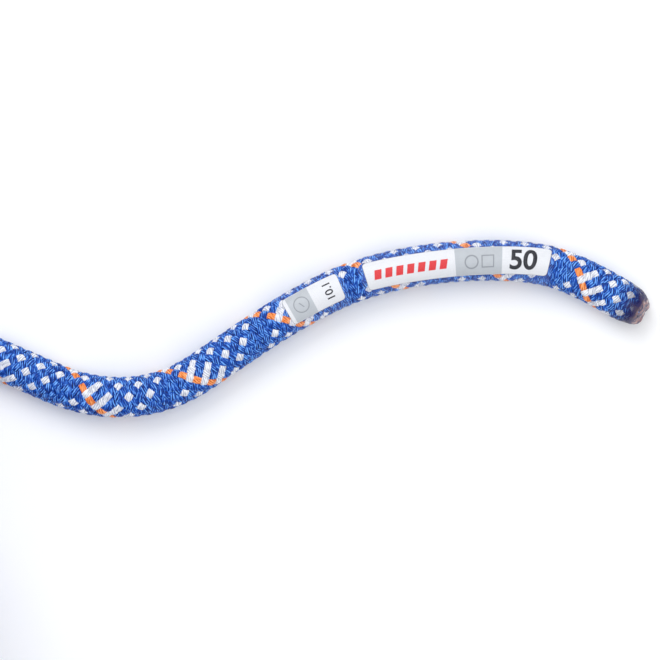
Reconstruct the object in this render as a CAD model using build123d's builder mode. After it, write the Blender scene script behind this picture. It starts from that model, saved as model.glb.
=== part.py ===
"""A dynamic climbing rope, 50 m long and 10.1 mm thick, put away in a tied hank.

Frame: millimetres, +Z up, +X along the hank towards the loose end, origin at the middle of
the box that the rope fills, on the surface that it lies on.

The rope is a woven sheath over twelve twisted core strands and an identification tape. Each
end is cut hot, so it closes in a fused seal, and carries a length label and a diameter label,
each under a clear film. The loose end runs out of the hank's outermost bottom turn. The far
end crosses over the top of the hank and is tucked under the tie.
"""

import os
from math import atan2, cos, pi, radians, sin, sqrt, tan

from build123d import *

# ---- Driving dimensions -------------------------------------------------------------------

ROPE_D = 10.1  # the rope's own diameter
SHEATH_WALL = 1.15  # thickness of the woven sheath
INNER_STRANDS = 3  # core strands round the rope's axis
OUTER_STRANDS = 9  # core strands in the ring round those
STRAND_FIT = 4.2  # the core's radius over a strand's, with a little room round each strand
STRAND_ROOM = 0.02
TAPE_WIDTH = 0.9  # identification tape inside the sheath
TAPE_THICK = 0.14

LABEL_THICK = 0.12
FILM_THICK = 0.05
FILM_OVERLAP = 1.2  # how far a film reaches past its label
LENGTH_LABEL = 45.5  # along the rope
LENGTH_LABEL_FROM_END = 26.4
DIAMETER_LABEL = 14.7
LABEL_GAP = 7.3  # between the two labels
LABEL_WRAP = 84.0  # degrees of the rope's circumference

SEAL_LENGTH = 7.5  # the fused end
SEAL_TIP_D = 6.4  # its blunt tip, before rounding
SEAL_ROUND = 2.2

HANK_LOBE = 98.0  # from the hank's waist to the middle of each lobe
HANK_FOLD = 31.0  # radius of the innermost turn
TURN_GAP = 0.2  # between turns that lie side by side
LAYER_GAP = 0.3  # between a turn and the two that it nests on
HANK_COLUMNS = 6  # turns side by side in the bottom layer
HANK_LAYERS = 12
WAIST_GAP = 0.5  # between the hank's two sides, where the tie pulls them together
HANK_TOP_ROUND = 8.0
HANK_FOOT_ROUND = 0.98  # rounding of the bottom edge, as a share of the rope's radius
HOLLOW_FROM_WAIST = 42.0  # the lobes' hollows close up nearer the waist than this

TIE_WIDTH = 25.0
TIE_THICK = 1.6
TIE_CORNER = 10.0  # radius of the bundle's corners under the tie
TIE_SQUEEZE = 0.6  # how far the tie sinks into the bundle
TIE_ROOM = 0.6  # between the tie and the far end that it passes over
TIE_FLAP = 62.0  # length of the overlapping hook end
TIE_FLAP_UP = 24.0  # height of the flap's lower end

ARC_SHARE = 0.45  # share of the shorter run that each arc of a route takes

# ---- Sizes that follow --------------------------------------------------------------------

ROPE_R = ROPE_D / 2
CORE_R = ROPE_R - SHEATH_WALL
STRAND_R = CORE_R / STRAND_FIT
LABEL_R = ROPE_R + LABEL_THICK
FILM_R = LABEL_R + FILM_THICK
REST_Z = FILM_R  # the films lie on the surface and carry the rope
DIAMETER_LABEL_FROM_END = LENGTH_LABEL_FROM_END + LENGTH_LABEL + LABEL_GAP
HANK_PITCH = ROPE_D + TURN_GAP
HANK_STEP = sqrt(ROPE_D**2 - (HANK_PITCH / 2) ** 2) + LAYER_GAP
HANK_PINCH = HANK_FOLD - ROPE_R - WAIST_GAP / 2  # how far the tie pulls each side in
HANK_OUTER = HANK_FOLD + (HANK_COLUMNS - 1) * HANK_PITCH
HANK_HEIGHT = ROPE_D + (HANK_LAYERS - 1) * HANK_STEP
TOP_LAYER_Z = HANK_HEIGHT - ROPE_R
PINCH_CENTRE = HANK_LOBE**2 / (2 * HANK_PINCH) - HANK_PINCH / 2  # of the waist's arcs, in y
CROSSING_Z = TOP_LAYER_Z + ROPE_D  # the far end lies on the top layer

# ---- Routes, chosen by hand ---------------------------------------------------------------

LOOSE_END_ROUTE = [
    (11.5, 80.4),
    (29.5, 80.4),
    (51.5, 77.8),
    (75.5, 72.5),
    (97.5, 65.4),
    (116.0, 57.6),
    (130.5, 51.2),
    (143.7, 50.0),
    (155.7, 53.2),
    (167.5, 61.3),
    (181.5, 70.7),
    (199.0, 79.8),
    (220.0, 84.0),
    (239.5, 84.3),
    (253.0, 81.0),
    (264.4, 74.9),
]
FAR_END_ROUTE = [  # from the hank's middle; heights in rope diameters above the top layer
    (-101.5, -76.8, 0.0),
    (-80.0, -77.4, 0.04),
    (-58.7, -66.1, 0.75),
    (-39.2, -38.3, 1.0),
    (-18.0, -27.2, 1.0),
    (14.0, -27.2, 1.0),
    (44.0, -32.5, 1.0),
    (72.0, -35.0, 1.0),
    (98.0, -41.5, 1.0),
    (119.0, -50.0, 1.0),
]

# The hank's outermost turn runs straight into the loose end, so the hank hangs on that point.
LEAVE_X, LEAVE_Y = LOOSE_END_ROUTE[0]
HANK_X = LEAVE_X - HANK_LOBE
HANK_Y = LEAVE_Y - HANK_OUTER


def arc_radii(points):
    """One radius for each corner: an arc as large as the two runs beside it allow."""
    radii = []
    for before, corner, after in zip(points, points[1:], points[2:]):
        arriving, leaving = corner - before, after - corner
        turn = radians(arriving.get_angle(leaving))
        shorter = min(arriving.length, leaving.length)
        radii.append(ARC_SHARE * shorter / tan(turn / 2))
    return radii


def rope_path(name, points):
    """A route's straight runs, joined by tangent arcs."""
    radii = arc_radii(points)
    print(f"{name} arc radii, mm:", ", ".join(f"{r:.0f}" for r in radii))
    with BuildLine() as line:
        FilletPolyline(*points, radius=radii)
    return line.wires()[0]


def across(path, at):
    """The plane square to the path at a share of its length, with its y axis upwards."""
    ahead = path % at
    return Plane(origin=path @ at, x_dir=Vector(0, 0, 1).cross(ahead), z_dir=ahead)


def stretch(path, from_end, length):
    """The part of a path that a label covers, counted back from the sealed tip."""
    stop = 1 - (from_end - SEAL_LENGTH) / path.length
    start = stop - length / path.length
    return path.trim(start, stop)


loose_points = [Vector(x, y, REST_Z) for x, y in LOOSE_END_ROUTE]
far_points = [
    Vector(HANK_X + x, HANK_Y + y, TOP_LAYER_Z + rise * ROPE_D) for x, y, rise in FAR_END_ROUTE
]
loose_path = rope_path("loose end", loose_points)
far_path = rope_path("far end", far_points)

os.makedirs("parts", exist_ok=True)


def finish(piece, name):
    """Label a finished piece and write it."""
    piece.part.label = name
    export_step(piece.part, f"parts/{name}.step")


# ---- The sheath: a tube along the loose end -----------------------------------------------

with BuildPart() as sheath:
    with BuildSketch(across(loose_path, 0)):
        Circle(ROPE_R)
        Circle(CORE_R, mode=Mode.SUBTRACT)
    sweep(path=loose_path)
finish(sheath, "sheath")

section_times_length = pi * (ROPE_R**2 - CORE_R**2) * loose_path.length
print(f"sheath: {sheath.part.volume:.0f} mm3 swept, {section_times_length:.0f} mm3 by length")

# ---- The core: twisted strands in two rings, and the tape ---------------------------------

inner_ring = (STRAND_R + STRAND_ROOM) / sin(pi / INNER_STRANDS)
outer_ring = CORE_R - STRAND_R - STRAND_ROOM
strand_places = [
    (inner_ring, 360 / INNER_STRANDS * i) for i in range(INNER_STRANDS)
] + [
    (outer_ring, 360 / OUTER_STRANDS * (i + 0.5)) for i in range(OUTER_STRANDS)
]
for number, (ring, angle) in enumerate(strand_places, start=1):
    with BuildPart() as strand:
        with BuildSketch(across(loose_path, 0)):
            with PolarLocations(ring, 1, start_angle=angle):
                Circle(STRAND_R)
        sweep(path=loose_path)
    finish(strand, f"core_strand_{number:02d}")

with BuildPart() as tape:
    with BuildSketch(across(loose_path, 0)):
        with Locations((CORE_R - TAPE_THICK, 0)):
            Rectangle(TAPE_THICK, TAPE_WIDTH)
    sweep(path=loose_path)
finish(tape, "identification_tape")


# ---- The far end: a plain length of rope over the top of the hank -------------------------

with BuildPart() as far_end_rope:
    with BuildSketch(across(far_path, 0)):
        Circle(ROPE_R)
    sweep(path=far_path)
finish(far_end_rope, "far_end_rope")

section_times_length = pi * ROPE_R**2 * far_path.length
print(f"far end: {far_end_rope.part.volume:.0f} mm3 swept, {section_times_length:.0f} mm3 by length")


# ---- Fused seals --------------------------------------------------------------------------


def fused_seal(path):
    """The melted end: it narrows from the rope's diameter to a blunt rounded tip."""
    end = across(path, 1)
    with BuildPart() as seal:
        with BuildSketch(Plane(origin=end.origin, x_dir=end.z_dir, z_dir=end.x_dir)):
            with BuildLine():
                Line((0, 0), (0, ROPE_R))
                Spline(
                    (0, ROPE_R),
                    (SEAL_LENGTH - SEAL_ROUND, SEAL_TIP_D / 2),
                    tangents=[(1, 0), (1, -1)],
                )
                Line((SEAL_LENGTH - SEAL_ROUND, SEAL_TIP_D / 2), (SEAL_LENGTH, SEAL_TIP_D / 4))
                Line((SEAL_LENGTH, SEAL_TIP_D / 4), (SEAL_LENGTH, 0))
                Line((SEAL_LENGTH, 0), (0, 0))
            make_face()
        revolve(axis=Axis(end.origin, end.z_dir))
    return seal


finish(fused_seal(loose_path), "loose_end_seal")
finish(fused_seal(far_path), "far_end_seal")


# ---- Labels and their clear films ---------------------------------------------------------


def label_patch(path):
    """A thin label wrapped over the top of the rope, along the whole of a short path."""
    with BuildPart() as label:
        with BuildSketch(across(path, 0)):
            Circle(LABEL_R)
            Circle(ROPE_R, mode=Mode.SUBTRACT)
            half = LABEL_WRAP / 2
            with BuildLine(mode=Mode.PRIVATE) as wedge:
                far = 3 * ROPE_R
                Polyline(
                    (0, 0),
                    (-far * sin(radians(half)), far * cos(radians(half))),
                    (far * sin(radians(half)), far * cos(radians(half))),
                    (0, 0),
                )
            make_face(wedge.edges(), mode=Mode.INTERSECT)
        sweep(path=path)
    return label


def film_sleeve(path):
    """A clear sleeve round the rope, over the label."""
    with BuildPart() as film:
        with BuildSketch(across(path, 0)):
            Circle(FILM_R)
            Circle(LABEL_R, mode=Mode.SUBTRACT)
        sweep(path=path)
    return film


films = []
for end_name, path in (("loose_end", loose_path), ("far_end", far_path)):
    for label_name, from_end, length in (
        ("length_label", LENGTH_LABEL_FROM_END, LENGTH_LABEL),
        ("diameter_label", DIAMETER_LABEL_FROM_END, DIAMETER_LABEL),
    ):
        finish(label_patch(stretch(path, from_end, length)), f"{end_name}_{label_name}")
        film_stretch = stretch(path, from_end - FILM_OVERLAP, length + 2 * FILM_OVERLAP)
        films.append(film_sleeve(film_stretch))
        finish(films[-1], f"{end_name}_{label_name}_film")


# ---- The hank -----------------------------------------------------------------------------


hank_plane = Plane(origin=(HANK_X, HANK_Y, 0))


def outline(radius):
    """The line of a turn seen from above: two lobes, joined by arcs that curve in at the waist.

    Every turn's waist arcs share their centres, so neighbouring turns stay a pitch apart.
    """
    waist = radius - HANK_PINCH
    meet = atan2(PINCH_CENTRE, HANK_LOBE)  # where a lobe's arc meets a waist arc
    across_lobe, along_lobe = radius * sin(meet), HANK_LOBE - radius * cos(meet)
    with BuildLine(hank_plane) as line:
        for side in (1, -1):
            ThreePointArc(
                (side * along_lobe, across_lobe),
                (side * (HANK_LOBE + radius), 0),
                (side * along_lobe, -across_lobe),
            )
            ThreePointArc(
                (-along_lobe, side * across_lobe), (0, side * waist), (along_lobe, side * across_lobe)
            )
    return line


def hollow(side):
    """The drop-shaped opening inside a lobe, along the innermost turn."""
    radius = HANK_FOLD - ROPE_R
    waist_arc = PINCH_CENTRE - (radius - HANK_PINCH)
    meet = atan2(PINCH_CENTRE, HANK_LOBE)
    across_lobe, along_lobe = radius * sin(meet), HANK_LOBE - radius * cos(meet)
    narrow = PINCH_CENTRE - sqrt(waist_arc**2 - HOLLOW_FROM_WAIST**2)
    middle = (HOLLOW_FROM_WAIST + along_lobe) / 2
    bend = PINCH_CENTRE - sqrt(waist_arc**2 - middle**2)
    with BuildLine(hank_plane) as line:
        ThreePointArc(
            (side * along_lobe, across_lobe),
            (side * (HANK_LOBE + radius), 0),
            (side * along_lobe, -across_lobe),
        )
        for edge in (1, -1):
            ThreePointArc(
                (side * HOLLOW_FROM_WAIST, edge * narrow),
                (side * middle, edge * bend),
                (side * along_lobe, edge * across_lobe),
            )
        Line((side * HOLLOW_FROM_WAIST, narrow), (side * HOLLOW_FROM_WAIST, -narrow))
    return line


def tie_section(with_far_end, grow=0.0):
    """What the tie goes round at the waist: the squeezed bundle and the far end on top of it."""
    corner_y = HANK_OUTER - HANK_PINCH + ROPE_R - TIE_SQUEEZE - TIE_CORNER
    low, high = TIE_THICK + TIE_CORNER, HANK_HEIGHT - TIE_SQUEEZE - TIE_CORNER
    far_end_y = (FAR_END_ROUTE[4][1] + FAR_END_ROUTE[5][1]) / 2
    waist_plane = Plane(origin=(HANK_X - TIE_WIDTH / 2, HANK_Y, 0), x_dir=(0, 1, 0), z_dir=(1, 0, 0))
    with BuildSketch(waist_plane) as section:
        with Locations((-corner_y, low), (corner_y, low), (corner_y, high), (-corner_y, high)):
            Circle(TIE_CORNER + grow)
        if with_far_end:
            with Locations((far_end_y, CROSSING_Z)):
                Circle(ROPE_R + TIE_ROOM + grow)
        make_hull()
    return section


with BuildPart() as rope_hank:
    with BuildSketch():
        make_face(outline(HANK_OUTER + ROPE_R).edges())
    extrude(amount=HANK_HEIGHT)
    fillet(rope_hank.faces().sort_by(Axis.Z)[0].edges(), ROPE_R * HANK_FOOT_ROUND)
    fillet(rope_hank.faces().sort_by(Axis.Z)[-1].edges(), HANK_TOP_ROUND)
    with BuildSketch():
        for side in (1, -1):
            make_face(hollow(side).edges())
    extrude(amount=HANK_HEIGHT, mode=Mode.SUBTRACT)
    with BuildSketch():  # room for the loose end as it leaves the bottom turn
        with Locations((LEAVE_X, LEAVE_Y - ROPE_D)):
            Rectangle(HANK_OUTER, 3 * ROPE_D, align=(Align.MIN, Align.MIN))
    extrude(amount=REST_Z + ROPE_R, mode=Mode.SUBTRACT)
    with BuildPart(mode=Mode.PRIVATE) as waist_cut:  # the channel that the tie lies in
        with Locations((HANK_X, HANK_Y, HANK_HEIGHT / 2)):
            Box(TIE_WIDTH, 4 * HANK_OUTER, 2 * HANK_HEIGHT)
        extrude(tie_section(False).sketch, amount=TIE_WIDTH, mode=Mode.SUBTRACT)
    add(waist_cut.part, mode=Mode.SUBTRACT)
    lying_on_it = [sheath.part, far_end_rope.part] + [film.part for film in films]
    add(lying_on_it, mode=Mode.SUBTRACT)
finish(rope_hank, "rope_hank")

# ---- The tie: a band of hook and loop webbing, and its overlapping end --------------------

with BuildPart() as tie_band:
    extrude(tie_section(True, TIE_THICK).sketch, amount=TIE_WIDTH)
    extrude(tie_section(True).sketch, amount=TIE_WIDTH, mode=Mode.SUBTRACT)
finish(tie_band, "tie_band")

with BuildPart() as tie_flap:
    flap_y = HANK_Y - (HANK_OUTER - HANK_PINCH + ROPE_R - TIE_SQUEEZE) - TIE_THICK
    with Locations((HANK_X, flap_y, TIE_FLAP_UP)):
        Box(TIE_WIDTH, TIE_THICK, TIE_FLAP, align=(Align.CENTER, Align.MAX, Align.MIN))
    fillet(tie_flap.edges().filter_by(Axis.Y), TIE_THICK * 2)
finish(tie_flap, "tie_flap")
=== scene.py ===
"""The looks of a 50 m dynamic climbing rope: its braided sheath, its labelled and fused end, and
the tied hank that the rest of it is wound in.

Sizes in millimetres are turned to metres by MM where they are used. The rope's line runs from
the tip of the loose end inwards, and a distance along it is counted from that tip.
"""

from math import atan2, cos, pi, sin, tau
from random import Random

import bmesh
import bpy
import numpy as np
from mathutils import Matrix, Vector


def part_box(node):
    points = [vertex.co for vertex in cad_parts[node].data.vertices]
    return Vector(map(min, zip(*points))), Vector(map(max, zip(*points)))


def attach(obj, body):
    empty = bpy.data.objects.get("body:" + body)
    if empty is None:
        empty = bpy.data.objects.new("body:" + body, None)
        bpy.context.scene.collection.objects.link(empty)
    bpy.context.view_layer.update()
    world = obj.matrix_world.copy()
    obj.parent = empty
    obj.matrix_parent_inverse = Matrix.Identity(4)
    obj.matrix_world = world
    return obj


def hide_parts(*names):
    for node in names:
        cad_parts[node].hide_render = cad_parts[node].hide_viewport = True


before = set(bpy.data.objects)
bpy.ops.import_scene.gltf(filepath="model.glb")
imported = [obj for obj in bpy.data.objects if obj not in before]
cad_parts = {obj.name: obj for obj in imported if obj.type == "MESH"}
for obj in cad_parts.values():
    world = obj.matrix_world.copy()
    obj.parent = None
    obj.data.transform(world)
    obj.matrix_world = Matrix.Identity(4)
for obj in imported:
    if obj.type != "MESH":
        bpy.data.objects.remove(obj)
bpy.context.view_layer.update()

MM = 0.001
ROPE_D = 10.1
ROPE_R = ROPE_D / 2
scene = bpy.context.scene

# ---- Camera, lights and world -------------------------------------------------------------

SEEN_WIDTH = 162.6  # of the floor that the camera takes in
SEEN_CENTRE = (192.5, 67.0)
LENS = 220.0
SENSOR = 36.0


def add_camera():
    """A camera that looks straight down on the loose end."""
    data = bpy.data.cameras.new("camera")
    data.lens, data.sensor_width = LENS, SENSOR
    camera = bpy.data.objects.new("camera", data)
    scene.collection.objects.link(camera)
    height = SEEN_WIDTH * LENS / SENSOR + ROPE_R
    camera.location = (SEEN_CENTRE[0] * MM, SEEN_CENTRE[1] * MM, height * MM)
    scene.camera = camera


def add_light(name, where, size, power, colour=(1, 1, 1)):
    """A square soft light that faces the loose end."""
    data = bpy.data.lights.new(name, "AREA")
    data.size, data.energy, data.color = size, power, colour
    light = bpy.data.objects.new(name, data)
    scene.collection.objects.link(light)
    target = Vector((SEEN_CENTRE[0] * MM, SEEN_CENTRE[1] * MM, 0))
    light.location = target + Vector(where)
    light.rotation_euler = (-Vector(where)).to_track_quat("-Z", "Y").to_euler()


add_camera()
add_light("key", (-0.35, 0.75, 0.95), 0.7, 6.5)
add_light("fill", (0.6, -0.5, 0.9), 1.0, 2.5)
add_light("overhead", (0.0, 0.1, 1.3), 0.9, 4.5)
world = bpy.data.worlds.new("studio")
world.use_nodes = True
world.node_tree.nodes["Background"].inputs["Color"].default_value = (0.95, 0.97, 1.0, 1)
world.node_tree.nodes["Background"].inputs["Strength"].default_value = 0.62
scene.world = world
scene.view_settings.view_transform = "Standard"


# ---- Materials, objects and the floor -----------------------------------------------------


class Nodes:
    """Short calls for one material's node tree."""

    def __init__(self, name, **shader):
        self.material = bpy.data.materials.new(name)
        self.material.use_nodes = True
        self.tree = self.material.node_tree
        self.shader = self.tree.nodes["Principled BSDF"]
        for socket, value in shader.items():
            self.shader.inputs[socket.replace("_", " ")].default_value = value

    def add(self, kind, inputs=(), out=0, **settings):
        node = self.tree.nodes.new("ShaderNode" + kind)
        for key, value in settings.items():
            setattr(node, key, value)
        for socket, value in dict(inputs).items():
            self.put(node.inputs[socket], value)
        return node.outputs[out]

    def put(self, socket, value):
        if isinstance(value, bpy.types.NodeSocket):
            self.tree.links.new(value, socket)
        else:
            socket.default_value = value

    def math(self, operation, first, second=0.0, third=0.0):
        return self.add("Math", {0: first, 1: second, 2: third}, operation=operation)

    def mix(self, share, first, second):
        return self.add("MixRGB", {0: share, 1: first, 2: second})

    def mark(self):
        """The piece's own texture coordinates."""
        return self.add("UVMap", uv_map="UVMap")

    def ramp(self, value, colours, places=(0.0, 0.55, 1.0)):
        """Colours that follow one another as the value grows, each at its own place."""
        made = self.add("ValToRGB", {0: value}).node
        ends = made.color_ramp.elements
        ends[0].position, ends[1].position = places[0], places[-1]
        ends[0].color, ends[1].color = colours[0], colours[-1]
        for place, colour in zip(places[1:-1], colours[1:-1]):
            ends.new(place).color = colour
        return made.outputs[0]

    def noise(self, where, scale, detail=3.0):
        return self.add("TexNoise", {"Vector": where, "Scale": scale, "Detail": detail})

    def colour(self, value):
        self.put(self.shader.inputs["Base Color"], value)

    def bump(self, height, strength, distance):
        inputs = {"Height": height, "Strength": strength, "Distance": distance}
        self.put(self.shader.inputs["Normal"], self.add("Bump", inputs))


def new_object(name, bm, *materials):
    """Turn a finished bmesh into an object in the scene."""
    mesh = bpy.data.meshes.new(name)
    bm.to_mesh(mesh)
    bm.free()
    for material in materials:
        mesh.materials.append(material)
    piece = bpy.data.objects.new(name, mesh)
    scene.collection.objects.link(piece)
    return piece


def floor_material():
    """Matt and nearly white."""
    nodes = Nodes("pale_floor", Roughness=0.9)
    place = nodes.add("TexCoord", out="Object")
    tint = nodes.mix(nodes.noise(place, 3.0), (0.93, 0.935, 0.94, 1), (0.95, 0.95, 0.955, 1))
    nodes.colour(tint)
    return nodes.material


def add_floor():
    """A wide flat floor that belongs to the stage and not to the rope."""
    bm = bmesh.new()
    bmesh.ops.create_grid(bm, x_segments=1, y_segments=1, size=4.0)
    floor = new_object("floor", bm, floor_material())


add_floor()


# ---- The rope's route ---------------------------------------------------------------------

REST_Z = 5.22  # the films over the labels lie on the floor and carry the rope
LOOSE_END_ROUTE = [
    (11.5, 80.4),
    (29.5, 80.4),
    (51.5, 77.8),
    (75.5, 72.5),
    (97.5, 65.4),
    (116.0, 57.6),
    (130.5, 51.2),
    (143.7, 50.0),
    (155.7, 53.2),
    (167.5, 61.3),
    (181.5, 70.7),
    (199.0, 79.8),
    (220.0, 84.0),
    (239.5, 84.3),
    (252.8, 81.3),
    (264.2, 74.5),
]
FAR_END_ROUTE = [  # from the hank's middle; heights in rope diameters above the top layer
    (-101.5, -76.8, 0.0),
    (-80.0, -77.4, 0.04),
    (-58.7, -66.1, 0.75),
    (-39.2, -38.3, 1.0),
    (-18.0, -27.2, 1.0),
    (14.0, -27.2, 1.0),
    (44.0, -32.5, 1.0),
    (72.0, -35.0, 1.0),
    (98.0, -41.5, 1.0),
    (119.0, -50.0, 1.0),
]
SEAL_LENGTH = 7.5
HANK_FOLD = 31.0  # radius of the innermost turn
TURN_PITCH = ROPE_D + 0.2
LAYER_STEP = (ROPE_D**2 - (TURN_PITCH / 2) ** 2) ** 0.5 + 0.3
COLUMNS = 6
LAYERS = 12
WAIST_ROOM = 0.25  # from the hank's middle to each side's innermost turn
PINCH = HANK_FOLD - ROPE_R - WAIST_ROOM  # how far the tie pulls each side in at the waist
LOBE_STEPS = 10  # points round a lobe
WAIST_STEPS = 4  # points along a waist arc
LAYER_SHIFT = 1.0  # how far a layer may lie off along the hank, at random
TURN_SLACK = 0.5  # the same for one turn's ends
TURN_LIFT = 0.35  # the same for one turn's height
FAN = 0.3  # each turn's ends reach this much further past its neighbour's than at the waist
TIE_THICK = 1.6
TIE_REACH = 34.0  # the tie still draws the turns together this far from the waist
TIE_ROUNDING = 0.07  # share by which it draws in the bundle's upper and lower corners

hank_low, hank_high = (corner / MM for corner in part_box("rope_hank"))
hank_middle = (hank_low + hank_high) / 2
hank_height = hank_high.z - hank_low.z
outermost = HANK_FOLD + (COLUMNS - 1) * TURN_PITCH
lobe = (hank_high.x - hank_low.x) / 2 - outermost - ROPE_R
pinch_centre = lobe**2 / (2 * PINCH) - PINCH / 2
meet = atan2(pinch_centre, lobe)  # the angle at which lobe and waist arcs meet


def turn_stations():
    """Once round a turn from the top of the right lobe, as (lobe side or 0, angle) pairs.

    A lobe's angles are about its own middle. A waist arc's are about its centre, beyond the
    side that it belongs to, and its side is given as 2 for +Y and -2 for -Y.
    """
    swing = pi - meet  # half of a lobe's arc
    half_waist = pi / 2 - meet
    stations = []
    for i in range(2):  # from the right lobe's top to the waist
        stations.append((1, pi / 2 + (swing - pi / 2) * (i + 0.5) / 2))
    for i in range(WAIST_STEPS):
        stations.append((2, -pi / 2 + half_waist * (1 - 2 * (i + 0.5) / WAIST_STEPS)))
    for i in range(LOBE_STEPS):
        stations.append((-1, pi - swing + 2 * swing * (i + 0.5) / LOBE_STEPS))
    for i in range(WAIST_STEPS):
        stations.append((-2, pi / 2 + half_waist * (1 - 2 * (i + 0.5) / WAIST_STEPS)))
    rest = swing + pi / 2
    for i in range(LOBE_STEPS - 2):
        stations.append((1, -swing + rest * (i + 0.5) / (LOBE_STEPS - 2)))
    return stations


def turn_point(side, angle, radius):
    """Where a turn of this radius passes a station, from the hank's middle."""
    if abs(side) == 1:
        return side * lobe + radius * cos(angle), radius * sin(angle)
    reach = pinch_centre - (radius - PINCH)
    return reach * cos(angle), side / 2 * pinch_centre + reach * sin(angle)


def hank_points():
    """Every turn of the hank, from the bottom layer's outermost inwards, outwards, and up."""
    dice = Random(11)
    stations = turn_stations()
    points = []
    before, height_before = outermost, ROPE_R
    for layer in range(LAYERS):
        odd = layer % 2
        radii = [HANK_FOLD + TURN_PITCH * (k + odd / 2) for k in range(COLUMNS - odd)]
        height = ROPE_R + layer * LAYER_STEP
        shift = {end: dice.uniform(-LAYER_SHIFT, LAYER_SHIFT) for end in (1, -1)}
        for radius in radii if odd else reversed(radii):
            slack = {end: dice.uniform(-TURN_SLACK, TURN_SLACK) for end in (1, -1)}
            lift = dice.uniform(-TURN_LIFT, TURN_LIFT) if 0 < layer < LAYERS - 1 else 0.0
            for count, (side, angle) in enumerate(stations):
                blend = min(1.0, (count + 0.5) / (WAIST_STEPS + 2))
                now = before + (radius - before) * blend
                x, y = turn_point(side, angle, now)
                z = height_before + (height - height_before) * blend + lift
                points.append(settle(x, y, z, now, shift, slack))
            before, height_before = radius, height
    return points


def settle(x, y, z, radius, shift, slack):
    """Let the turns fan out at the lobes' ends, and draw them together under the tie."""
    column = (radius - HANK_FOLD) / TURN_PITCH
    end = 1 if x > 0 else -1
    outward = max(0.0, (abs(x) - lobe) / outermost)
    x += end * outward * (FAN * column + slack[end]) + shift[end] * min(1.0, abs(x) / lobe)
    near_tie = np.exp(-((x / TIE_REACH) ** 2))
    middle = hank_height / 2
    up = (z - middle) / middle
    y *= 1 - TIE_ROUNDING * near_tie * abs(up) ** 6
    z -= near_tie * up * (TIE_THICK + 0.3)  # and a little room under the band
    return x + hank_middle.x, y + hank_middle.y, z


def rope_points():
    """Control points of the whole rope, in metres, from the loose end's tip."""
    loose = [Vector((x, y, REST_Z)) for x, y in reversed(LOOSE_END_ROUTE)]
    top = hank_height - ROPE_R
    far = [
        Vector((hank_middle.x + x, hank_middle.y + y, top + rise * ROPE_D))
        for x, y, rise in FAR_END_ROUTE
    ]
    wound = [Vector(point) for point in hank_points()]
    last_x = far[0].x - 12.0  # the last turn stops here, and the far end climbs from it
    while wound[-1].x > last_x or wound[-1].y > hank_middle.y:
        wound.pop()
    return [point * MM for point in loose + wound + far]


def smooth_line(points, resolution):
    """Points read back from a smooth spline that has the given points as its control points."""
    data = bpy.data.curves.new("route", "CURVE")
    data.dimensions = "3D"
    data.resolution_u = resolution
    spline = data.splines.new("NURBS")
    spline.points.add(len(points) - 1)
    for place, point in zip(spline.points, points):
        place.co = (*point, 1)
    spline.order_u = 3
    spline.use_endpoint_u = True
    guide = bpy.data.objects.new("route", data)
    scene.collection.objects.link(guide)
    mesh = bpy.data.meshes.new_from_object(guide)
    line = np.empty(len(mesh.vertices) * 3)
    mesh.vertices.foreach_get("co", line)
    bpy.data.objects.remove(guide)
    bpy.data.meshes.remove(mesh)
    return line.reshape(-1, 3)


class Line:
    """A smooth line through space, read by distance from its first point."""

    def __init__(self, points):
        self.points = points
        steps = np.linalg.norm(np.diff(points, axis=0), axis=1)
        self.along = np.concatenate([[0], np.cumsum(steps)])
        self.length = self.along[-1]
        self.ahead = np.gradient(points, self.along, axis=0)

    def read(self, table, distance):
        return np.stack([np.interp(distance, self.along, table[:, i]) for i in range(3)], -1)

    def frames(self, distance):
        """Middle, side and up at each distance; side is to the right of the way to the tip."""
        ahead = -self.read(self.ahead, distance)
        side = np.cross(ahead, (0.0, 0.0, 1.0))
        side /= np.linalg.norm(side, axis=-1, keepdims=True)
        up = np.cross(side, ahead)
        up /= np.linalg.norm(up, axis=-1, keepdims=True)
        past = -np.minimum(distance, 0.0) - np.maximum(distance - self.length, 0.0)
        return self.read(self.points, distance) + ahead * past[..., None], side, up

    def surface(self, distance, angle, radius):
        """Points round the line; angle 0 is upwards and grows towards the side."""
        middle, side, up = self.frames(distance)
        reach = np.asarray(radius)[..., None]
        return middle + reach * (np.sin(angle)[..., None] * side + np.cos(angle)[..., None] * up)


rope_line = Line(smooth_line(rope_points(), 8))
print("rope line", round(rope_line.length + 2 * SEAL_LENGTH * MM, 3), "m")


# ---- Shapes made from grids ---------------------------------------------------------------


def shaped_grid(name, along, around, sheets, place, *materials):
    """A closed tube or several, from flat grids that a function shapes.

    place(u, v, sheet) gives each grid point's place and its two texture coordinates, where u
    runs 0..1 along a tube and v runs 0..1 around it.
    """
    bm = bmesh.new()
    for sheet in range(sheets):
        spot = Matrix.Translation((0.5, 0.5, sheet))
        bmesh.ops.create_grid(bm, x_segments=along, y_segments=around, size=0.5, matrix=spot)
    piece = new_object(name, bm, *materials)
    mesh = piece.data
    flat = np.empty(len(mesh.vertices) * 3)
    mesh.vertices.foreach_get("co", flat)
    u, v, sheet = flat.reshape(-1, 3).T
    points, marks = place(u, v, np.rint(sheet).astype(int))
    corner = np.empty(len(mesh.loops), dtype=np.int32)
    mesh.loops.foreach_get("vertex_index", corner)
    layer = mesh.uv_layers.new(name="UVMap")
    layer.data.foreach_set("uv", marks[corner].ravel())
    mesh.vertices.foreach_set("co", points.ravel())
    bm = bmesh.new()
    bm.from_mesh(mesh)
    bmesh.ops.remove_doubles(bm, verts=bm.verts, dist=1e-7)
    bmesh.ops.holes_fill(bm, edges=bm.edges)
    bmesh.ops.recalc_face_normals(bm, faces=bm.faces)
    for face in bm.faces:
        face.smooth = True
    bm.to_mesh(mesh)
    bm.free()
    return piece


# ---- The braid ----------------------------------------------------------------------------
#
# Twenty bundles of yarn cross in a plain weave, ten each way. Laid flat, bundle i of one way
# and bundle j of the other cross in a diamond grid, and the first lies over where i + j is even.

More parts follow.
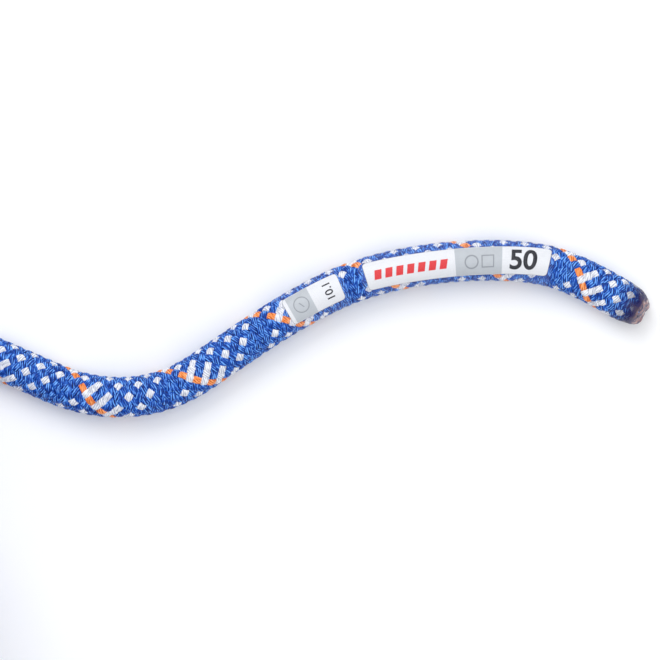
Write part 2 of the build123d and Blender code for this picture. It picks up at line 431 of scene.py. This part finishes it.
BRAID_PITCH = 26.3  # along the rope for one turn of a bundle
BRAID_START = 142.8  # distance at which bundles 0 of both ways pass each other
BRAID_TURN = 0.05  # share of a turn that they are then short of the top
UNITS = 10  # bundles each way
ORANGE_DOWN = (0,)  # colours of the bundles that run down and towards the tip
WHITE_DOWN = (1,)
WHITE_UP = (1, 3, 5, 7)  # and of those that run up and towards the tip
# Each dye in shade, in full light between, and where it catches the light.
BLUE = ((0.0005, 0.01, 0.1, 1), (0.001, 0.07, 0.45, 1), (0.16, 0.42, 0.95, 1))
WHITE = ((0.4, 0.42, 0.52, 1), (0.74, 0.76, 0.82, 1), (0.92, 0.93, 0.97, 1))
ORANGE = ((0.5, 0.11, 0.02, 1), (0.95, 0.28, 0.07, 1), (1, 0.45, 0.2, 1))
YARN_GLOSS = 0.22


def braided_sheath():
    """The whole sheath's pattern, from texture coordinates of distance and share of a turn."""
    nodes = Nodes("braided_sheath", Roughness=0.5, Specular_IOR_Level=YARN_GLOSS)
    split = nodes.add("SeparateXYZ", {0: nodes.mark()}).node.outputs
    per_metre = UNITS / (BRAID_PITCH * MM)
    first = UNITS * BRAID_START / BRAID_PITCH
    along = nodes.math("MULTIPLY_ADD", split[0], -per_metre, first)
    around = nodes.math("MULTIPLY_ADD", split[1], UNITS, UNITS * BRAID_TURN)
    down = nodes.math("SUBTRACT", along, around)
    up = nodes.math("ADD", along, around)
    down_unit, up_unit = nodes.math("ROUND", down), nodes.math("ROUND", up)
    down_off = nodes.math("SUBTRACT", down, down_unit)
    up_off = nodes.math("SUBTRACT", up, up_unit)
    parity = nodes.math("FLOORED_MODULO", nodes.math("ADD", down_unit, up_unit), 2.0)
    down_over = nodes.math("LESS_THAN", parity, 0.5)
    down_number = nodes.math("FLOORED_MODULO", down_unit, float(UNITS))
    up_number = nodes.math("FLOORED_MODULO", up_unit, float(UNITS))

    def one_of(number, wanted):
        total = 0.0
        for unit in wanted:
            total = nodes.math("ADD", nodes.math("COMPARE", number, float(unit), 0.5), total)
        return total

    is_orange = nodes.math("MULTIPLY", down_over, one_of(down_number, ORANGE_DOWN))
    white_down = nodes.math("MULTIPLY", down_over, one_of(down_number, WHITE_DOWN))
    up_over = nodes.math("SUBTRACT", 1.0, down_over)
    white_up = nodes.math("MULTIPLY", up_over, one_of(up_number, WHITE_UP))
    is_white = nodes.math("MAXIMUM", white_down, white_up)

    # A crown is high in the middle of its diamond, and falls away to the crossings round it.
    bulge = nodes.math(
        "MULTIPLY",
        nodes.math("COSINE", nodes.math("MULTIPLY", down_off, pi)),
        nodes.math("COSINE", nodes.math("MULTIPLY", up_off, pi)),
    )
    crown = nodes.math("POWER", bulge, 0.6)
    # Plies show as fine strokes, steeper than the bundle that they belong to.
    lean = nodes.math("MULTIPLY_ADD", down_over, 2.0, -1.0)
    stroke = nodes.math(
        "ADD",
        nodes.math("MULTIPLY", nodes.math("ADD", down_off, up_off), 2.4),
        nodes.math("MULTIPLY", lean, nodes.math("SUBTRACT", up_off, down_off)),
    )
    ply = nodes.math("ABSOLUTE", nodes.math("COSINE", nodes.math("MULTIPLY", stroke, pi)))
    height = nodes.math("MULTIPLY_ADD", ply, 0.25, crown)
    light = nodes.math("MULTIPLY", nodes.math("MULTIPLY_ADD", ply, 0.6, 0.4), crown)
    blue = nodes.ramp(light, BLUE)
    white = nodes.ramp(light, WHITE)
    orange = nodes.ramp(light, ORANGE)
    nodes.colour(nodes.mix(is_orange, nodes.mix(is_white, blue, white), orange))
    nodes.bump(height, 0.9, 0.35 * MM)
    return nodes.material


def yarn(name, dye):
    """Twisted yarn: the first texture coordinate counts plies, the second runs along."""
    nodes = Nodes(name, Roughness=0.4, Specular_IOR_Level=YARN_GLOSS)
    mark = nodes.mark()
    split = nodes.add("SeparateXYZ", {0: mark}).node.outputs
    ply = nodes.math("ABSOLUTE", nodes.math("COSINE", nodes.math("MULTIPLY", split[0], pi)))
    each_ply = nodes.add("Mapping", {"Vector": mark, "Scale": (1.3, 650.0, 1.0)})
    uneven = nodes.noise(each_ply, 1.0, 2.0)
    glint = nodes.math("MULTIPLY_ADD", uneven, 3.2, -1.6)
    light = nodes.math("MULTIPLY_ADD", ply, 0.62, nodes.math("ADD", glint, 0.08))
    nodes.colour(nodes.ramp(light, dye))
    each_fibre = nodes.add("Mapping", {"Vector": mark, "Scale": (9.0, 500.0, 1.0)})
    fibres = nodes.noise(each_fibre, 1.0, 2.0)
    nodes.bump(nodes.math("MULTIPLY_ADD", fibres, 0.4, ply), 0.6, 0.08 * MM)
    return nodes.material


# ---- The rope as one long tube ------------------------------------------------------------

DETAIL_END = 288.0  # the sheath's bundles are modelled one by one up to here
CORE_R = 4.0  # inside them the tube is only as thick as the core
CORE_TAPER = 3.0  # length over which the tube goes from one to the other
SIDES = 18
RING_EVERY = 3  # of the line's own points


def add_rope():
    """The rope's own tube, full size in the hank and as thick as its core inside the bundles."""
    rings = rope_line.along[::RING_EVERY].copy()
    rings[-1] = rope_line.length

    def place(u, v, sheet):
        distance = rings[np.rint(u * (len(rings) - 1)).astype(int)]
        near = np.clip((DETAIL_END * MM - distance) / (CORE_TAPER * MM), 0, 1)
        radius = (ROPE_R - (ROPE_R - CORE_R) * near) * MM
        points = rope_line.surface(distance, tau * v, radius)
        return points, np.stack([distance, v], -1)

    rope = shaped_grid("rope", len(rings) - 1, SIDES, 1, place, braided_sheath())
    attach(rope, "root")
    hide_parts("sheath", "rope_hank", "far_end_rope")
    return rope


def on_rope(piece, slot, *nodes):
    """A piece that is part of the rope, in place of these CAD nodes."""
    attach(piece, "root")
    if nodes:
        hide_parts(*nodes)
    return piece


# ---- The bundles of yarn along the loose end ----------------------------------------------

BUNDLE_WIDTH = 2.05
THIN_BUNDLE = 1.72  # the white and orange bundles hold fewer yarns
BUNDLE_THICK = 0.74
BUNDLE_MID = 4.37  # radius about which the bundles rise and sink
BUNDLE_WAVE = 0.31
SWAY = 0.09  # how far a bundle strays to either side
BUNDLE_RINGS = 960
BUNDLE_SIDES = 22
OUTER_SHARE = 0.75  # of a bundle's sides, which lie on its outer half
PLY_PITCH = 0.5
PLY_RIDGE = 0.1
PLY_LEAN = 0.35  # angle between the plies and their bundle
PLY_FLOOR = 0.7  # the grooves between plies are cut no lower than this share of a ridge
MELTED = 4.4  # the yarn is drawn in and melted over this distance past the sheath's end
TIGHT_FROM = 35.0  # nearer the tip than this the braid is tighter
TIGHT_PITCH = 24.9
# Each as distances and the values there: the rope's own twist, and its taper in the fused end.
TWIST = ((0.0, 35.0, 65.0, 88.0, 110.0, 140.0), (0.16, 0.0, 0.0, -0.1, -0.05, 0.0))
TAPER = ((-MELTED, -3.2, -2.0, -0.6, 1.2), (0.72, 0.86, 0.93, 0.975, 1.0))
BUNDLE_SLOPE = atan2(tau * (ROPE_R - 0.2), BRAID_PITCH)


def add_bundles(name, material, width, down=(), up=()):
    """Bundles of one dye, given by their numbers in the two ways."""
    units = [(unit, 1) for unit in down] + [(unit, -1) for unit in up]
    numbers, ways = np.array(units).T
    starts = -numbers * ways / UNITS

    def place(u, v, sheet):
        way = ways[sheet]
        distance = DETAIL_END - (DETAIL_END + MELTED) * u
        turns = (BRAID_START - np.maximum(distance, TIGHT_FROM)) / BRAID_PITCH
        turns = turns + np.maximum(TIGHT_FROM - distance, 0) / TIGHT_PITCH
        turn = tau * (way * turns + starts[sheet] - BRAID_TURN) + np.interp(distance, *TWIST)
        own = numbers[sheet] * 2.4 + way  # sets each bundle's own waver
        wave = BUNDLE_MID + way * BUNDLE_WAVE * np.cos(tau * UNITS * turns)
        outer = np.minimum(v / OUTER_SHARE, 1)
        inner = np.maximum(v - OUTER_SHARE, 0) / (1 - OUTER_SHARE)
        round_angle = pi * (outer + inner)
        across, rise = np.cos(round_angle), np.sin(round_angle)
        across = np.sign(across) * np.abs(across) ** 0.9 * width / 2
        across = across * (1 + 0.06 * np.sin(distance * 1.7 + own))
        across = across + SWAY * np.sin(distance * 0.9 + own)
        rise = np.sign(rise) * np.abs(rise) ** 0.85
        run = -distance / cos(BUNDLE_SLOPE)
        ply = (across * cos(PLY_LEAN) - run * sin(PLY_LEAN)) / PLY_PITCH
        ridge = PLY_RIDGE * (np.abs(np.cos(pi * ply)) - PLY_FLOOR) * np.maximum(rise, 0)
        radius = wave + rise * BUNDLE_THICK / 2 + ridge
        radius *= np.interp(distance, *TAPER)
        turn = turn + way * across * cos(BUNDLE_SLOPE) / BUNDLE_MID
        distance = distance + across * sin(BUNDLE_SLOPE)
        points = rope_line.surface(distance * MM, turn, radius * MM)
        return points, np.stack([ply, run * MM], -1)

    piece = shaped_grid(name, BUNDLE_RINGS, BUNDLE_SIDES, len(units), place, material)
    return on_rope(piece, "sheath")


def add_all_bundles():
    """Twenty bundles in seven pieces, by dye and way."""
    blue = yarn("blue_yarn", BLUE)
    white = yarn("white_yarn", WHITE)
    orange = yarn("orange_yarn", ORANGE)
    return [
        add_bundles("orange_bundle", orange, THIN_BUNDLE, down=ORANGE_DOWN),
        add_bundles("white_bundle_down", white, THIN_BUNDLE, down=WHITE_DOWN),
        add_bundles("white_bundles_up", white, THIN_BUNDLE, up=WHITE_UP),
        add_bundles("blue_bundles_down_1", blue, BUNDLE_WIDTH, down=(2, 3, 4, 5)),
        add_bundles("blue_bundles_down_2", blue, BUNDLE_WIDTH, down=(6, 7, 8, 9)),
        add_bundles("blue_bundles_up_1", blue, BUNDLE_WIDTH, up=(0, 2, 4, 6)),
        add_bundles("blue_bundles_up_2", blue, BUNDLE_WIDTH, up=(8, 9)),
    ]


# ---- The core inside the loose end --------------------------------------------------------

STRAND_R = 0.92
STRAND_LAY = 90.0  # along the rope for one turn of the outer strands
STRAND_RINGS = 260
STRAND_SIDES = 8
STRAND_END = 266.0
INNER_RING = 1.1  # radius that the three inner strands' middles lie on
OUTER_RING = 2.9  # and the nine outer ones
TAPE_HALF = 0.12  # half of the tape's width, as an angle
TAPE_THICK = 0.12
TAPE_SIDES = 12


def core_yarn():
    """Twisted white core yarn."""
    nodes = Nodes("core_yarn", Roughness=0.7, Sheen_Weight=0.1)
    place = nodes.add("TexCoord", out="Object")
    fibre = nodes.noise(place, 1500.0, 4.0)
    nodes.colour(nodes.mix(fibre, (0.7, 0.7, 0.66, 1), (0.95, 0.95, 0.92, 1)))
    nodes.bump(fibre, 0.4, 0.1 * MM)
    return nodes.material


def tape_print():
    """Yellow tape with darker bands printed along it."""
    nodes = Nodes("tape_print", Roughness=0.4)
    along = nodes.add("SeparateXYZ", {0: nodes.mark()})
    band = nodes.math("SINE", nodes.math("MULTIPLY", along, tau / (9 * MM)))
    printed = nodes.math("GREATER_THAN", band, 0.55)
    nodes.colour(nodes.mix(printed, (0.75, 0.55, 0.06, 1), (0.12, 0.1, 0.05, 1)))
    return nodes.material


def add_core():
    """Twelve strands, three inside nine, and the flat tape that lies along them."""
    inner = [(INNER_RING, tau * i / 3) for i in range(3)]
    outer = [(OUTER_RING, tau * (i + 0.5) / 9) for i in range(9)]
    rings, starts = np.array(inner + outer).T

    def place(u, v, sheet):
        distance = STRAND_END * u
        turn = starts[sheet] + tau * distance / STRAND_LAY
        x = rings[sheet] * np.cos(turn) + STRAND_R * np.cos(tau * v)
        y = rings[sheet] * np.sin(turn) + STRAND_R * np.sin(tau * v)
        points = rope_line.surface(distance * MM, np.arctan2(y, x), np.hypot(x, y) * MM)
        return points, np.stack([distance * MM, v], -1)

    count = len(rings)
    strands = shaped_grid("core_strands", STRAND_RINGS, STRAND_SIDES, count, place, core_yarn())
    names = [f"core_strand_{number:02d}" for number in range(1, count + 1)]

    def place_tape(u, v, sheet):
        distance = STRAND_END * u
        angle = TAPE_HALF * np.cos(tau * v)
        radius = CORE_R - TAPE_THICK + TAPE_THICK / 2 * np.sin(tau * v)
        points = rope_line.surface(distance * MM, angle, radius * MM)
        return points, np.stack([distance * MM, v], -1)

    tape = shaped_grid("tape", STRAND_RINGS, TAPE_SIDES, 1, place_tape, tape_print())
    return [on_rope(strands, "core", *names), on_rope(tape, "tape", "identification_tape")]


# ---- What is on both ends -----------------------------------------------------------------


class End:
    """One end of the rope, read by distance inwards and by turn to the left facing its tip."""

    def __init__(self, name, far):
        self.name = name
        self.far = far

    def surface(self, inwards, turn, radius):
        if self.far:
            return rope_line.surface(rope_line.length - inwards * MM, turn, radius * MM)
        return rope_line.surface(inwards * MM, -turn, radius * MM)


SEAL_PROFILE = (  # distance past the sheath's end, and radius
    (-1.6, 4.0),
    (-1.5, 5.06),
    (0.0, 5.02),
    (2.0, 4.8),
    (3.5, 4.5),
    (4.9, 4.0),
    (5.7, 3.5),
    (6.2, 2.95),
    (6.5, 2.2),
    (6.6, 1.4),
    (6.58, 0.7),
    (6.55, 0.0),
)
SEAL_RINGS = 96
SEAL_SIDES = 64
SEAL_SLANT = 0.34  # the cut isn't square to the rope


def glaze():
    """Melted sheath: dark and glassy, thin where it starts over the yarn, paler on its face."""
    nodes = Nodes("melted_glaze", Roughness=0.35, Specular_IOR_Level=0.3, Coat_Weight=0.15)
    place = nodes.add("TexCoord", out="Object")
    past = nodes.add("SeparateXYZ", {0: nodes.mark()})
    broad = nodes.noise(place, 420.0, 4.0)
    fine = nodes.noise(place, 800.0, 5.0)
    dark = ((0.001, 0.002, 0.07, 1), (0.012, 0.008, 0.085, 1), (0.06, 0.04, 0.07, 1))
    side = nodes.ramp(broad, dark, (0.3, 0.5, 0.72))
    mottled = (
        (0.012, 0.01, 0.03, 1),
        (0.1, 0.09, 0.16, 1),
        (0.4, 0.2, 0.17, 1),
        (0.6, 0.56, 0.58, 1),
    )
    end_face = nodes.ramp(fine, mottled, (0.32, 0.45, 0.56, 0.68))
    on_face = nodes.add("MapRange", {"Value": past, "From Min": 4.9 * MM, "From Max": 5.9 * MM})
    depth = nodes.math("MULTIPLY_ADD", broad, 4 * MM, nodes.math("SUBTRACT", past, 2 * MM))
    melt = nodes.add("MapRange", {"Value": depth, "From Min": -1.6 * MM, "From Max": 4.2 * MM})
    cover = nodes.math("MULTIPLY_ADD", nodes.math("POWER", melt, 2.4), 0.9, 0.1)
    nodes.put(nodes.shader.inputs["Alpha"], cover)
    nodes.colour(nodes.mix(on_face, side, end_face))
    nodes.bump(nodes.math("ADD", fine, broad), 0.5, 0.5 * MM)
    nodes.material.surface_render_method = "BLENDED"
    return nodes.material


def add_seal(end, material, seed):
    """The fused end: a lumpy cone of melted yarn with a blunt face."""
    dice = Random(seed)
    lumps = [(dice.randint(2, 6), dice.uniform(0.4, 1.6), dice.uniform(0, tau)) for _ in range(7)]
    steps = np.linspace(0, 1, len(SEAL_PROFILE))
    reach, girth = np.array(SEAL_PROFILE).T

    def place(u, v, sheet):
        past = np.interp(u, steps, reach)
        radius = np.interp(u, steps, girth)
        uneven = sum(np.sin(waves * tau * v + rate * past + phase) for waves, rate, phase in lumps)
        radius = radius * (1 + 0.01 * uneven * np.clip((past - 1) / 3, 0, 1))
        past = past + 0.035 * uneven * np.clip(past - 5, 0, 2) * np.clip(radius / 2, 0, 1)
        slant = SEAL_SLANT * np.maximum(past - 4.0, 0) * np.cos(tau * v) * radius / 3
        points = end.surface(slant - past, tau * v, radius)
        return points, np.stack([past * MM, v], -1)

    name = end.name + "_seal"
    seal = shaped_grid(name + "_glaze", SEAL_RINGS, SEAL_SIDES, 1, place, material)
    return on_rope(seal, "seal", name)


LABEL_R = 5.08  # a label's underside
LABEL_THICK = 0.05
PRINT_THICK = 0.02
PRINT_LIFT = 0.012  # each layer of print stands above the one below it
LENGTH_LABEL = (45.5, 7.4)
LENGTH_LABEL_FROM = 65.4  # inwards from the sheath's end to the label's inner edge
DIAMETER_LABEL = (14.7, 7.4)
DIAMETER_LABEL_FROM = 86.4
LABEL_CORNER = 1.0
STOCK_CORNER = 0.92  # inside the darker line
LABEL_EDGE = 0.09  # width of the darker line round a label, a painted shadow along its edge
PANEL_INSET = 0.2  # from a grey panel to the label's long edges
BEND_STEP = (1.3, 0.62)  # a flat label is cut up this finely to bend
STOCK, GREY, RED, BLACK, FAINT, EDGE = range(6)


class Label:
    """A printed label, drawn flat in millimetres: x towards the tip, y across to its left."""

    def __init__(self, size):
        self.size = size
        self.half = size[1] / 2
        self.whole = bmesh.new()
        line = LABEL_EDGE
        # The whole label is laid first in darker grey, a painted shadow that shows as a line round
        # its edge
        self.panel(0, size[0], 0, LABEL_CORNER, EDGE, 0)
        self.panel(line, size[0] - line, line, STOCK_CORNER, STOCK, 2)

    def lay(self, flat, dye, layer):
        """Cut a flat shape up so that it can bend, thicken it and add it to the label."""
        for axis in range(2):
            normal = Vector((1 - axis, axis, 0))
            cuts = int(self.size[axis] / BEND_STEP[axis])
            for cut in range(1, cuts):
                at = self.size[axis] * (cut / cuts - axis / 2)
                whole = flat.verts[:] + flat.edges[:] + flat.faces[:]
                bmesh.ops.bisect_plane(flat, geom=whole, plane_co=normal * at, plane_no=normal)
        for face in flat.faces:
            face.material_index = dye
        thick = PRINT_THICK if layer else LABEL_THICK
        bottom = layer * PRINT_LIFT + LABEL_THICK - thick
        bmesh.ops.translate(flat, verts=flat.verts, vec=(0, 0, bottom))
        made = bmesh.ops.extrude_face_region(flat, geom=flat.faces[:], use_keep_orig=True)
        raised = [part for part in made["geom"] if isinstance(part, bmesh.types.BMVert)]
        bmesh.ops.translate(flat, verts=raised, vec=(0, 0, thick))
        bmesh.ops.recalc_face_normals(flat, faces=flat.faces)
        mesh = bpy.data.meshes.new("layer")
        flat.to_mesh(mesh)
        flat.free()
        self.whole.from_mesh(mesh)
        bpy.data.meshes.remove(mesh)

    def panel(self, left, right, inset, corner, dye, layer, lean=0.0):
        """A rectangle this far in from the long edges, with round corners or leaning sides."""
        flat = bmesh.new()
        bmesh.ops.create_grid(flat, x_segments=1, y_segments=1, size=0.5)
        height = 2 * (self.half - inset)
        bmesh.ops.scale(flat, verts=flat.verts, vec=(right - left, height, 1))
        for vert in flat.verts:
            vert.co.x += lean * vert.co.y
        bmesh.ops.translate(flat, verts=flat.verts, vec=((left + right) / 2, 0, 0))
        if corner:
            bmesh.ops.bevel(
                flat,
                geom=flat.verts[:],
                offset=corner,
                offset_type="OFFSET",
                segments=5,
                profile=0.5,
                affect="VERTICES",
                material=-1,
            )
        self.lay(flat, dye, layer)

    def ring(self, x, y, outer, inner, sides, dye, layer):
        """A ring outline, or with four sides a square one."""
        flat = bmesh.new()
        turn = Matrix.Rotation(pi / sides, 4, "Z")
        for radius in (outer, inner):
            bmesh.ops.create_circle(flat, segments=sides, radius=radius, matrix=turn)
        bmesh.ops.bridge_loops(flat, edges=flat.edges)
        bmesh.ops.translate(flat, verts=flat.verts, vec=(x, y, 0))
        self.lay(flat, dye, layer)

    def digits(self, text, x, y, height, turned, weight, dye, layer):
        """Numbers centred on a spot, turned to read across the label or not."""
        data = bpy.data.curves.new("digits", "FONT")
        data.body = text
        data.offset = weight
        words = bpy.data.objects.new("digits", data)
        scene.collection.objects.link(words)
        mesh = bpy.data.meshes.new_from_object(words)
        bpy.data.objects.remove(words)
        flat = bmesh.new()
        flat.from_mesh(mesh)
        bpy.data.meshes.remove(mesh)
        bmesh.ops.remove_doubles(flat, verts=flat.verts, dist=1e-5)
        xs, ys = [v.co.x for v in flat.verts], [v.co.y for v in flat.verts]
        size = height / (max(ys) - min(ys))
        middle = Vector(((max(xs) + min(xs)) / 2, (max(ys) + min(ys)) / 2, 0))
        place = Matrix.Translation((x, y, 0)) @ Matrix.Rotation(turned, 4, "Z")
        place = place @ Matrix.Scale(size, 4) @ Matrix.Translation(-middle)
        bmesh.ops.transform(flat, matrix=place, verts=flat.verts)
        self.lay(flat, dye, layer)

    def wrap(self, end, name, inwards, drift, inks):
        """Bend the label round the rope; drift gives its middle's turn, by powers of its share."""
        for vert in self.whole.verts:
            x, y, z = vert.co
            share = x / self.size[0]
            turn = y / LABEL_R + sum(part * share**power for power, part in enumerate(drift))
            spot = np.array([inwards - x]), np.array([turn]), np.array([LABEL_R + z])
            vert.co = end.surface(*spot)[0]
        bmesh.ops.recalc_face_normals(self.whole, faces=self.whole.faces)
        piece = new_object(name + "_print", self.whole, *inks)
        return on_rope(piece, "label", name)


def ink(name, tint, roughness, mottle=0.06):
    """Print or label stock, faintly uneven and embossed by the weave below."""
    nodes = Nodes(name, Roughness=roughness, Specular_IOR_Level=0.3)
    place = nodes.add("TexCoord", out="Object")
    uneven = nodes.noise(place, 700.0, 4.0)
    worn = tuple(part * (1 - mottle * 2) for part in tint[:3]) + (1,)
    nodes.colour(nodes.mix(uneven, worn, tint))
    nodes.bump(nodes.noise(place, 480.0, 1.0), 0.25, 0.15 * MM)
    return nodes.material


def label_inks():
    """Materials in the order of STOCK, GREY, RED, BLACK, FAINT and EDGE."""
    return (
        ink("label_stock", (0.76, 0.77, 0.79, 1), 0.4, 0.03),
        ink("grey_panel", (0.5, 0.53, 0.56, 1), 0.4),
        ink("red_print", (0.72, 0.022, 0.025, 1), 0.4),
        ink("black_print", (0.012, 0.012, 0.016, 1), 0.35),
        ink("faint_print", (0.3, 0.32, 0.35, 1), 0.4),
        # the darker line round each label is painted shadow along its edge
        ink("label_edge", (0.3, 0.3, 0.33, 1), 0.5),
    )


def add_length_label(end, inks):
    """The long label: red bars, a grey panel with two plain outlines, and the length."""
    label = Label(LENGTH_LABEL)
    label.panel(22.4, 33.9, PANEL_INSET, 0, GREY, 4)
    for bar in range(7):
        left = 2.3 + bar * 2.72
        label.panel(left, left + 1.75, label.half - 1.15, 0, RED, 4, 0.25)
    label.ring(26.4, -0.1, 1.75, 1.4, 40, FAINT, 6)
    label.ring(30.4, -0.1, 2.2, 1.8, 4, FAINT, 6)
    label.digits("50", 39.1, 0.2, 5.1, 0, 0.024, BLACK, 4)
    name = end.name + "_length_label"
    return label.wrap(end, name, LENGTH_LABEL_FROM, (0.02, -0.53, 0.68), inks)


def add_diameter_label(end, inks):
    """The short label: a grey panel with a ring, and the diameter reading across."""
    label = Label(DIAMETER_LABEL)
    label.panel(1.0, 6.9, PANEL_INSET, 0, GREY, 4)
    label.ring(4.0, 0.1, 2.0, 1.75, 40, FAINT, 6)
    label.panel(3.85, 4.15, label.half - 0.7, 0, FAINT, 6, -0.5)
    label.digits("10.1", 11.4, 0.0, 2.05, pi / 2, 0.012, BLACK, 4)
    name = end.name + "_diameter_label"
    return label.wrap(end, name, DIAMETER_LABEL_FROM, (0.07,), inks)


FILM_IN, FILM_OUT = 5.16, 5.2
FILM_OVERLAP = 1.2  # past each end of its label
FILM_SIDES = 48
FILM_RING = 1.2  # length of sleeve from ring to ring


def clear_film():
    """Clear shrunk film, slightly hazy."""
    nodes = Nodes("clear_film", Roughness=0.2, IOR=1.45, Alpha=0.025)
    place = nodes.add("TexCoord", out="Object")
    haze = nodes.noise(place, 300.0)
    nodes.colour(nodes.mix(haze, (0.62, 0.64, 0.92, 1), (0.85, 0.86, 0.98, 1)))
    nodes.bump(haze, 0.2, 0.2 * MM)
    nodes.material.surface_render_method = "BLENDED"
    return nodes.material


def add_film(end, label, inner_edge, length, material):
    """A sleeve of film over a label, with a wall of its own."""

    def place(u, v, sheet):
        out = np.minimum(u * 2, 1) - np.maximum(u * 2 - 1, 0)  # there outside, back inside
        reach = inner_edge + FILM_OVERLAP - (length + 2 * FILM_OVERLAP) * out
        radius = np.where(u < 0.5, FILM_OUT, FILM_IN)
        return end.surface(reach, tau * v, radius), np.stack([reach * MM, v], -1)

    name = f"{end.name}_{label}_label_film"
    rings = 2 * round(length / FILM_RING)
    film = shaped_grid(name + "_sleeve", rings, FILM_SIDES, 1, place, material)
    return on_rope(film, "film", name)


def add_ends():
    """Seal, labels and films at both ends."""
    inks = label_inks()
    film = clear_film()
    melted = glaze()
    pieces = []
    for seed, end in enumerate((End("loose_end", False), End("far_end", True))):
        pieces.append(add_seal(end, melted, seed + 5))
        pieces.append(add_length_label(end, inks))
        pieces.append(add_diameter_label(end, inks))
        pieces.append(add_film(end, "length", LENGTH_LABEL_FROM, LENGTH_LABEL[0], film))
        pieces.append(add_film(end, "diameter", DIAMETER_LABEL_FROM, DIAMETER_LABEL[0], film))
    return pieces


# ---- The tie round the hank's waist -------------------------------------------------------


def webbing():
    """Black hook and loop webbing: fine ribs along it, crossed by the weft."""
    nodes = Nodes("black_webbing", Roughness=0.8, Specular_IOR_Level=0.15)
    place = nodes.add("TexCoord", out="Object")
    split = nodes.add("SeparateXYZ", {0: place}).node.outputs
    along = nodes.math("ADD", split[1], split[2])
    lean = nodes.math("PINGPONG", split[0], 3.2 * MM)
    rib = nodes.math("SINE", nodes.math("MULTIPLY", split[0], tau / (1.6 * MM)))
    twill = nodes.math("ADD", along, lean)
    weft = nodes.math("SINE", nodes.math("MULTIPLY", twill, tau / (1.5 * MM)))
    weave = nodes.math("MULTIPLY_ADD", rib, 0.4, weft)
    fluff = nodes.noise(place, 1600.0, 4.0)
    height = nodes.math("MULTIPLY_ADD", fluff, 0.8, weave)
    # Colour follows the weave's height: painted shade in its grooves and painted sheen on its
    # ribs, with random tone from the fluff
    painted_weave_shade = nodes.add("MapRange", {"Value": height, "From Min": -0.8, "From Max": 1.6})
    nodes.colour(nodes.mix(painted_weave_shade, (0.003, 0.003, 0.004, 1), (0.06, 0.06, 0.068, 1)))
    nodes.bump(height, 0.7, 0.3 * MM)
    return nodes.material


def dress_tie():
    """Give the tie's own CAD nodes their webbing."""
    material = webbing()
    for node in ("tie_band", "tie_flap"):
        for slot in bpy.data.objects[node].material_slots:
            slot.material = material


rope = add_rope()
pieces = add_all_bundles() + add_core() + add_ends()
dress_tie()

tuple(rope_line.points[0])
[tuple(point) for point in rope_line.points[::3]]
